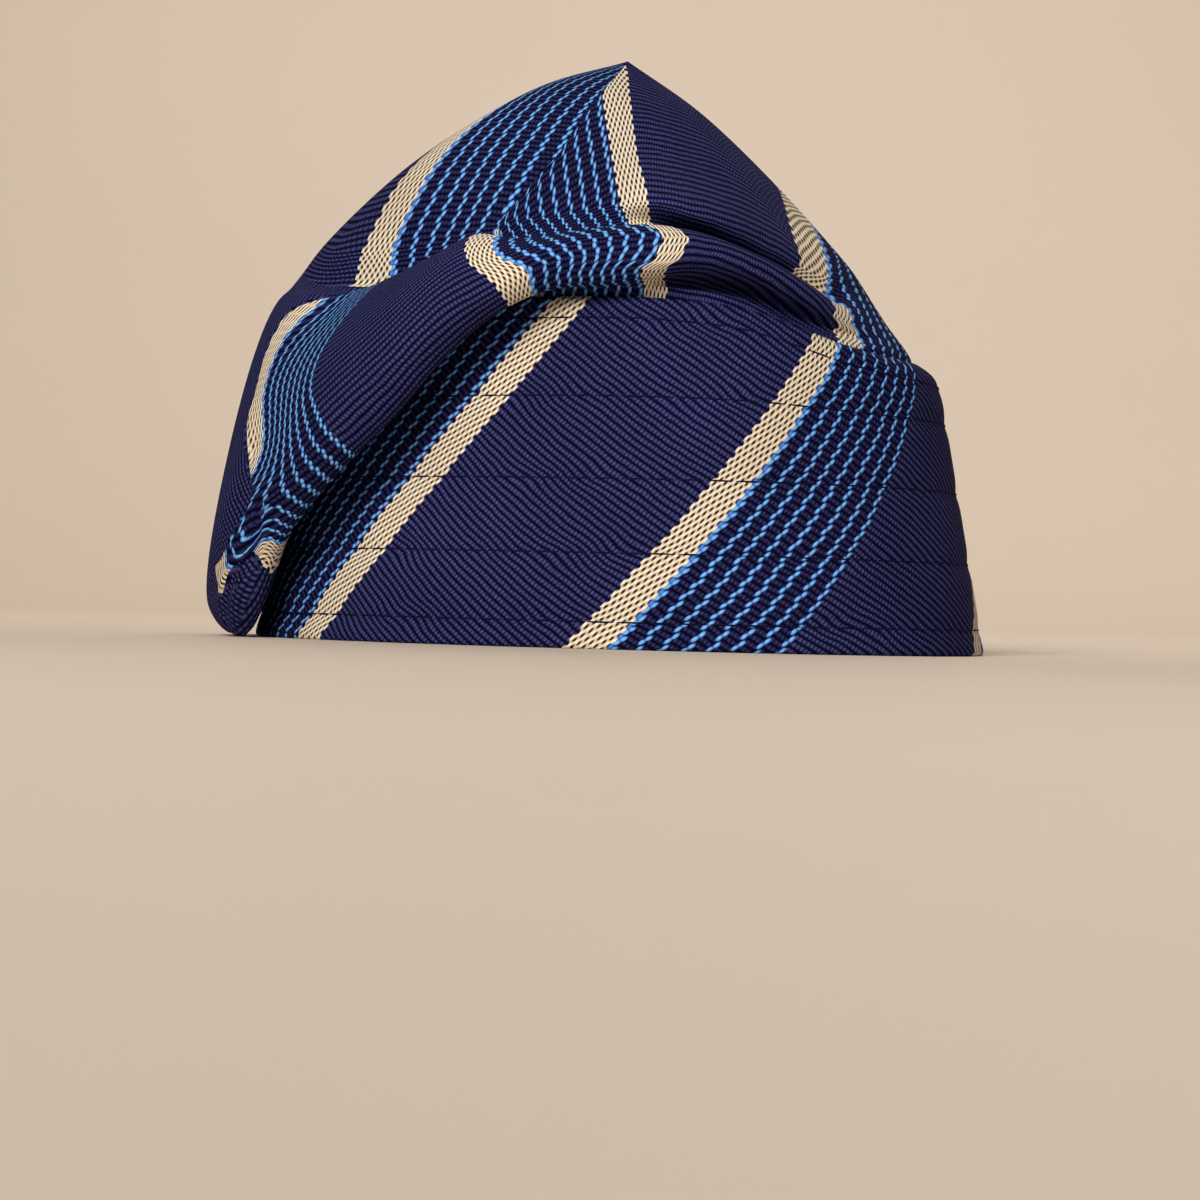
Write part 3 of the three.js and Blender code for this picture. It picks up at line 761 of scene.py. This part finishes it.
def plain(name, colour, roughness):
    """A pale matt studio surface with a faint mottle."""
    material = bpy.data.materials.new(name)
    material.use_nodes = True
    tree = material.node_tree
    shader = tree.nodes["Principled BSDF"]
    place = Wire(tree).node("ShaderNodeTexCoord", None, None, 3)
    mottle = place.node("ShaderNodeTexNoise", None, {"Vector": place, "Scale": 6, "Detail": 4})
    shade = mottle.mix(linear([c * 0.96 for c in colour]), linear(colour))
    tree.links.new(shade.socket, shader.inputs["Base Color"])
    shader.inputs["Roughness"].default_value = roughness
    return material


CROWN_CHART = {"period": 212.0, "beiges": (49.3, 112.8), "lines": (10, 9)}
BAND_CHART = {"period": 199.5, "beiges": (40.5, 104.0), "lines": (8, 8)}

# ---- properties --------------------------------------------------------------------------------


def colour_property(name, description, default):
    return FloatVectorProperty(name=name, description=description, default=default, size=3,
                               min=0, max=1, subtype="COLOR")


class FilaWeave(bpy.types.PropertyGroup):
    """Threads and colours of the strip-woven cloth"""

    beige_width: FloatProperty(name="Beige width", description="Width of a beige stripe in mm", default=8.5)
    beige_ends: IntProperty(name="Beige ends", description="Warp ends across a beige stripe", default=12)
    line_pitch: FloatProperty(name="Line pitch", description="From one blue line to the next in mm", default=4.31)
    line_width: FloatProperty(name="Line width", description="Width of a blue line in mm", default=1.5)
    rib_pitch: FloatProperty(name="Rib pitch", description="From one rib of the weave to the next in mm", default=1.75)
    navy_end: FloatProperty(name="Navy end", description="Width of a navy warp end in mm", default=1.05)
    relief: FloatProperty(name="Relief", description="Height of the weave's beads", default=0.0004,
                          subtype="DISTANCE", unit="LENGTH")
    # The ribs' lit tops; the grooves between them are painted darker as shade.
    navy: colour_property("Navy", "Top of the navy ribs", (0.072, 0.077, 0.255))
    # Painted shade in the grooves between the navy ribs.
    navy_groove_shade: colour_property("Navy gap", "Between the navy ribs", (0.0022, 0.0019, 0.014))
    line_ground: colour_property("Line ground", "Navy between the blue lines", (0.036, 0.038, 0.14))
    beige: colour_property("Beige", "Top of the beige ends", (0.97, 0.89, 0.77))
    # Painted shade on the beige ends' sides round the pits.
    beige_side_shade: colour_property("Beige side", "Sides of the beige ends, round the pits", (0.62, 0.42, 0.19))
    # Painted shadow in the pits between the beige ends.
    beige_pit_shade: colour_property("Beige gap", "Pits between the beige ends", (0.035, 0.015, 0.004))
    # The blue beads' lit tops, painted as their highlight.
    blue: colour_property("Blue", "Top of the blue beads", (0.25, 0.60, 1.0))
    # Painted shade on the blue beads' sides, and the deep blue of the strip beside the beige.
    blue_shade_and_strip: colour_property("Blue edge", "Sides of the blue beads", (0.006, 0.09, 0.55))


class FilaSewing(bpy.types.PropertyGroup):
    """Rows of stitches on the band"""

    stitches: IntProperty(name="Stitches", description="Stitches in a row round the band", default=84)
    share: FloatProperty(name="Stitch share", description="Part of a stitch's pitch that shows as thread",
                         default=0.95, subtype="FACTOR", min=0, max=1)
    thread: FloatProperty(name="Thread", description="Thickness of the thread", default=0.00045,
                          subtype="DISTANCE", unit="LENGTH")
    dent: FloatProperty(name="Dent", description="How far a row pulls the cloth in", default=0.0005,
                        subtype="DISTANCE", unit="LENGTH")
    colour: colour_property("Thread colour", "Colour of the sewing thread", (0.010, 0.009, 0.038))


class FilaStage(bpy.types.PropertyGroup):
    """Floor, light and camera"""

    floor: colour_property("Floor", "Colour of the floor and the wall behind it", (0.80, 0.67, 0.545))
    distance: FloatProperty(name="Distance", description="From the camera to the cap's axis", default=1.0,
                            subtype="DISTANCE", unit="LENGTH")
    height: FloatProperty(name="Camera height", description="Camera above the floor", default=0.0112,
                          subtype="DISTANCE", unit="LENGTH")
    azimuth: FloatProperty(name="Azimuth", description="Where the camera stands, from the wearer's front towards the right",
                           default=math.radians(-38), subtype="ANGLE", unit="ROTATION")
    aside: FloatProperty(name="Aside", description="Camera's shift to its right", default=-0.0035,
                         subtype="DISTANCE", unit="LENGTH")
    roll: FloatProperty(name="Roll", description="Camera's roll", default=math.radians(1.47),
                        subtype="ANGLE", unit="ROTATION")
    lens: FloatProperty(name="Lens", description="Focal length", default=120, subtype="DISTANCE_CAMERA")


# ---- pieces ------------------------------------------------------------------------------------


def add_piece(name, bm, material, node=None):
    mesh = bpy.data.meshes.new(name)
    bm.to_mesh(mesh)
    bm.free()
    mesh.materials.append(material)
    mesh.shade_smooth()
    piece = bpy.data.objects.new(name, mesh)
    bpy.context.scene.collection.objects.link(piece)
    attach(piece, "root")
    if node:
        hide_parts(node)
    return piece


def rings(bm, count, places):
    """Rings of vertices extruded one from the other, each vertex with its column and row."""
    column = bm.verts.layers.int.new("column")
    row = bm.verts.layers.int.new("row")
    ring = bmesh.ops.create_circle(bm, segments=count, radius=1)["verts"]
    for i, vert in enumerate(ring):
        vert[column] = i
    edges = list(bm.edges)
    first = edges
    for r, line in enumerate(places):
        if r:
            made = bmesh.ops.extrude_edge_only(bm, edges=edges)["geom"]
            ring = [item for item in made if isinstance(item, bmesh.types.BMVert)]
            edges = [item for item in made if isinstance(item, bmesh.types.BMEdge)]
        for vert in ring:
            vert[row] = r
            vert.co = line[vert[column]]
    return first, edges, ring, column, row


class FILA_OT_crown(bpy.types.Operator):
    """Make the soft crown with its lobe, pleat, roll and dart"""

    bl_idname = "fila.crown"
    bl_label = "Crown"

    def execute(self, context):
        azimuth = crown_azimuths()
        rows = crown_rows()
        places = [crown_places(leaning(azimuth, row), row) for row in rows]
        bm = bmesh.new()
        tucked = bm.verts.layers.float.new("tucked")
        squeeze = bm.verts.layers.float.new("squeeze")
        draw = bm.verts.layers.float.new("draw")
        first, last, peak, column, row = rings(bm, len(azimuth), places)
        beside, on_flap = crown_cloth_map(np.append(azimuth, BACK_CUT + 360.0), rows)
        plain_ribs = np.array([crown_plain_ribs(np.append(azimuth, BACK_CUT + 360.0), line) for line in rows])
        behind = np.array([crown_behind(leaning(azimuth, line), line, across)
                           for line, across in zip(rows, beside[:, :-1, 0])])
        tight = squeezed(np.array(places), beside[:, :-1, 0])
        valley = rows.index((LINES.index("valley"), 0.0))
        tight[valley:] = 1
        dart = int(np.argmin(np.abs(azimuth - DART_AT_FOLD)))
        cloth = bm.loops.layers.uv.new("cloth")
        for face in bm.faces:
            columns = [vert[column] for vert in face.verts]
            joined = max(columns) - min(columns) > 1
            low = min(vert[row] for vert in face.verts)
            left = max(columns) if joined else min(columns)
            chosen = on_flap if low >= valley and left < dart else beside
            if min(behind[vert[row], vert[column]] for vert in face.verts) > 0:
                chosen = plain_ribs
            for loop in face.loops:
                at = loop.vert[column]
                if joined and at == 0:
                    at = len(azimuth)
                loop[cloth].uv = chosen[loop.vert[row], at] * MM
        for vert in bm.verts:
            vert[tucked] = behind[vert[row], vert[column]]
            vert[squeeze] = tight[vert[row], vert[column]]
            on_lobe = vert[row] < valley and PLAIN_FROM < azimuth[vert[column]] < LOBE_FROM
            vert[draw] = LOBE_DRAW if on_lobe else 1
        bmesh.ops.pointmerge(bm, verts=peak, merge_co=peak[0].co.copy())
        bmesh.ops.recalc_face_normals(bm, faces=bm.faces)
        piece = add_piece("crown_cloth", bm, woven("crown_weave", context.scene.fila_weave, CROWN_CHART),
                          "crown")
        wall_of_cloth = piece.modifiers.new("cloth", "SOLIDIFY")
        wall_of_cloth.thickness = CROWN_CLOTH * MM
        wall_of_cloth.offset = -1
        return {"FINISHED"}


# Rows of stitches on the band: a height, and a share of the top edge's height that is added.
STITCH_ROWS = [(6.2, 0), (22, 0), (39.1, 0), (41.5, 0.205), (-5, 1)]
BAND_COLUMNS = 288
BAND_FROM = 142  # azimuth of the band's join, behind
PUCKER = 0.5  # millimetres that the ribs sway along a row of stitches


def stitch_heights(azimuth):
    top = around(EDGE, azimuth)[..., 0]
    return np.array([low + share * top for low, share in STITCH_ROWS])


def band_outer(azimuth, height, dent):
    """Reach of the band's outer face, drawn in along its rows of stitches."""
    near = (height - stitch_heights(azimuth)) / 2.2
    return band_faces(azimuth, height)[0] - dent * np.exp(-(near**2)).sum(0)


def rim_arc(azimuth):
    """Millimetres along the rim from the azimuth that the camera faces."""
    fine = np.radians(np.arange(-400, 400, 0.25))
    reach = rim_reach(np.degrees(fine))
    length = np.concatenate([[0], np.cumsum(np.hypot(np.diff(reach * np.sin(fine)), np.diff(reach * np.cos(fine))))])
    return np.interp(azimuth, np.degrees(fine), length) - np.interp(-38, np.degrees(fine), length)


def band_cloth(azimuth, height):
    """Millimetres across and along the band's straight strip, which is cut on the bias."""
    arc = rim_arc(azimuth)
    near = 130 * np.tanh(arc / 130)
    across = 113.76 + 0.7674 * arc - 0.7134 * height + 0.00049 * near**2
    along = 0.56 * arc - 0.00096 * near**2 + 0.8593 * height
    for number, row in enumerate(stitch_heights(azimuth)):
        sway = np.sin(arc / 6.1 + number) + np.sin(arc / 3.7 + 2 * number)
        along = along + PUCKER * sway * np.exp(-(((height - row) / 2.6) ** 2))
    return np.stack([across, along], axis=-1)


class FILA_OT_band(bpy.types.Operator):
    """Make the stitched band, with its rolled rim and curled top edge"""

    bl_idname = "fila.band"
    bl_label = "Band"

    def execute(self, context):
        dent = context.scene.fila_sewing.dent / MM
        azimuth = BAND_FROM - 360 + np.arange(BAND_COLUMNS) * 360 / BAND_COLUMNS
        top = around(EDGE, azimuth)[..., 0]
        lines = []
        heights = []
        bend = 1.2
        for turn in np.radians([-90, -60, -30]):
            height = np.full_like(azimuth, bend + bend * math.sin(turn))
            lines.append((band_outer(azimuth, height, dent) - bend * (1 - math.cos(turn)), height))
            heights.append(height)
        for share in np.linspace(0, 1, 45):
            height = bend + (top - EDGE_ROUNDING - bend) * share
            lines.append((band_outer(azimuth, height, dent), height))
            heights.append(height)
        for share in np.linspace(0, 1, 7)[1:]:
            height = top - EDGE_ROUNDING * (1 - share)
            lines.append((band_outer(azimuth, height, dent), height))
            heights.append(height)
        for share in (1, 0.8, 0.6, 0.4, 0.2, 0):
            height = top - EDGE_ROUNDING * (1 - share)
            lines.append(band_faces(azimuth, height)[1:])
            heights.append(2 * top - height)
        for share in (0.8, 0.6, 0.4, 0.2, 0.05, 0):
            height = (top - EDGE_ROUNDING) * share
            reach, level = band_faces(azimuth, height)[1:]
            lines.append((reach, np.maximum(level, 0)))
            heights.append(2 * top - height)
        places = [spots(azimuth, reach, height) for reach, height in lines]
        bm = bmesh.new()
        first, last, ring, column, row = rings(bm, len(azimuth), places)
        bmesh.ops.bridge_loops(bm, edges=first + last)
        cloth = bm.loops.layers.uv.new("cloth")
        around_once = np.append(azimuth, azimuth[0] + 360)
        heights = [np.append(height, height[0]) for height in heights]
        laid = [band_cloth(around_once, height) for height in heights]
        for face in bm.faces:
            columns = [vert[column] for vert in face.verts]
            joined = max(columns) - min(columns) > 1
            for loop in face.loops:
                at = loop.vert[column]
                if joined and at == 0:
                    at = len(azimuth)
                loop[cloth].uv = laid[loop.vert[row]][at] * MM
        bmesh.ops.recalc_face_normals(bm, faces=bm.faces)
        add_piece("band_cloth", bm, woven("band_weave", context.scene.fila_weave, BAND_CHART), "band")
        return {"FINISHED"}


class FILA_OT_stitching(bpy.types.Operator):
    """Sew the rows of stitches round the band"""

    bl_idname = "fila.stitching"
    bl_label = "Stitching"

    def execute(self, context):
        sewing = context.scene.fila_sewing
        bm = bmesh.new()
        bmesh.ops.create_uvsphere(bm, u_segments=6, v_segments=5, radius=1)
        one = bpy.data.meshes.new("stitch")
        bm.to_mesh(one)
        bm.clear()
        azimuth = BAND_FROM - 360 + np.arange(sewing.stitches + 1) * 360 / sewing.stitches
        for k in range(len(STITCH_ROWS)):
            height = stitch_heights(azimuth)[k]
            reach = band_outer(azimuth, height, sewing.dent / MM) + sewing.thread / MM * 0.25
            spot = spots(azimuth, reach, height)
            for a, b in zip(spot[:-1], spot[1:]):
                along = Vector(b - a)
                length = along.length * sewing.share / 2
                turn = along.to_track_quat("Z", "Y").to_matrix().to_4x4()
                size = Matrix.Diagonal((sewing.thread / 2, sewing.thread / 2, length, 1))
                middle = Matrix.Translation(Vector(a + b) / 2)
                stitch = one.copy()
                stitch.transform(middle @ turn @ size)
                bm.from_mesh(stitch)
                bpy.data.meshes.remove(stitch)
        bpy.data.meshes.remove(one)
        add_piece("stitches", bm, thread("sewing_thread", sewing.colour))
        return {"FINISHED"}


class FILA_OT_stage(bpy.types.Operator):
    """Set the floor, the wall, the lights and the camera"""

    bl_idname = "fila.stage"
    bl_label = "Stage"

    def execute(self, context):
        stage = context.scene.fila_stage
        ahead = Vector((-math.sin(stage.azimuth), math.cos(stage.azimuth), 0))
        right = Vector((math.cos(stage.azimuth), math.sin(stage.azimuth), 0))
        self.sweep(stage, ahead)
        self.lights(ahead, right)
        lens = bpy.data.cameras.new("camera")
        lens.lens = stage.lens
        lens.sensor_width = 36
        camera = bpy.data.objects.new("camera", lens)
        context.scene.collection.objects.link(camera)
        camera.location = Vector((AXIS.x, AXIS.y, stage.height)) - ahead * stage.distance + right * stage.aside
        camera.rotation_mode = "QUATERNION"
        camera.rotation_quaternion = ahead.to_track_quat("-Z", "Y")
        camera.rotation_quaternion @= Matrix.Rotation(stage.roll, 4, "Z").to_quaternion()
        lens.clip_start, lens.clip_end = 0.01, 50
        context.scene.camera = camera
        world = bpy.data.worlds.new("studio")
        world.use_nodes = True
        world.node_tree.nodes["Background"].inputs["Color"].default_value = (1, 0.97, 0.93, 1)
        world.node_tree.nodes["Background"].inputs["Strength"].default_value = 0.09
        context.scene.world = world
        context.scene.view_settings.view_transform = "Standard"
        return {"FINISHED"}

    def sweep(self, stage, ahead):
        """A floor that turns up into a wall far behind."""
        bm = bmesh.new()
        start = bmesh.ops.create_vert(bm, co=(-4, -4, 0))["vert"] + bmesh.ops.create_vert(bm, co=(4, -4, 0))["vert"]
        edge = bm.edges.new(start)
        edges = [edge]
        steps = [(0, 5.0, 0)] + [(0, 0.6 * (math.cos(a) - math.cos(b)) * 0 + 0.5 * (math.sin(b) - math.sin(a)),
                                  0.5 * (math.cos(a) - math.cos(b)))
                                 for a, b in zip(np.radians(np.arange(0, 90, 7.5)), np.radians(np.arange(7.5, 97.5, 7.5)))]
        steps.append((0, 0, 3.5))
        for step in steps:
            made = bmesh.ops.extrude_edge_only(bm, edges=edges)["geom"]
            moved = [item for item in made if isinstance(item, bmesh.types.BMVert)]
            edges = [item for item in made if isinstance(item, bmesh.types.BMEdge)]
            bmesh.ops.translate(bm, verts=moved, vec=step)
        turn = Matrix.Rotation(stage.azimuth, 4, "Z")
        bmesh.ops.transform(bm, matrix=turn, verts=bm.verts)
        bmesh.ops.recalc_face_normals(bm, faces=bm.faces)
        mesh = bpy.data.meshes.new("floor")
        bm.to_mesh(mesh)
        bm.free()
        mesh.materials.append(plain("floor_pale", stage.floor, 0.6))
        mesh.shade_smooth()
        floor = bpy.data.objects.new("floor", mesh)
        bpy.context.scene.collection.objects.link(floor)

    def lights(self, ahead, right):
        centre = Vector((AXIS.x, AXIS.y, 0.07))
        up = Vector((0, 0, 1))
        for name, place, size, power in (
            ("key", -1.76 * ahead - 0.51 * right + 1.06 * up, 0.8, 6.8),
            ("fill", -1.1 * ahead + 0.6 * right + 0.4 * up, 0.5, 0.5),
            ("top", 0.1 * ahead + 1.1 * up, 0.6, 0.5),
            ("back", 1.0 * ahead + 0.5 * right + 0.9 * up, 0.6, 1.5),
            ("wall", 0.3 * ahead + 1.6 * up, 1.5, 17),
        ):
            lamp = bpy.data.lights.new(name, "AREA")
            lamp.shape = "SQUARE"
            lamp.size = size
            lamp.energy = power
            lamp.color = (1, 0.975, 0.94)
            lamp.spread = math.radians(75 if name == "key" else 180)
            holder = bpy.data.objects.new(name, lamp)
            bpy.context.scene.collection.objects.link(holder)
            holder.location = centre + place
            holder.rotation_mode = "QUATERNION"
            aim = ahead - 0.3 * up if name == "wall" else -place
            holder.rotation_quaternion = aim.to_track_quat("-Z", "Y")


class FILA_PT_cap(bpy.types.Panel):
    """Fila cap"""

    bl_idname = "FILA_PT_cap"
    bl_label = "Fila cap"
    bl_space_type = "VIEW_3D"
    bl_region_type = "UI"
    bl_category = "Fila cap"

    def draw(self, context):
        scene = context.scene
        for operator in OPERATORS:
            self.layout.operator(operator.bl_idname)
        for group in (scene.fila_weave, scene.fila_sewing, scene.fila_stage):
            box = self.layout.box()
            for name in group.__annotations__:
                box.prop(group, name)


OPERATORS = (FILA_OT_stage, FILA_OT_band, FILA_OT_stitching, FILA_OT_crown)
GROUPS = {"fila_weave": FilaWeave, "fila_sewing": FilaSewing, "fila_stage": FilaStage}


def register():
    for made in (*GROUPS.values(), *OPERATORS, FILA_PT_cap):
        bpy.utils.register_class(made)
    for name, group in GROUPS.items():
        setattr(bpy.types.Scene, name, PointerProperty(type=group))


def unregister():
    for name in GROUPS:
        delattr(bpy.types.Scene, name)
    for made in reversed((*GROUPS.values(), *OPERATORS, FILA_PT_cap)):
        bpy.utils.unregister_class(made)


def main():
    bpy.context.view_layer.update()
    register()
    bpy.ops.fila.stage()
    bpy.ops.fila.band()
    bpy.ops.fila.stitching()
    bpy.ops.fila.crown()


if __name__ == "__main__":
    main()
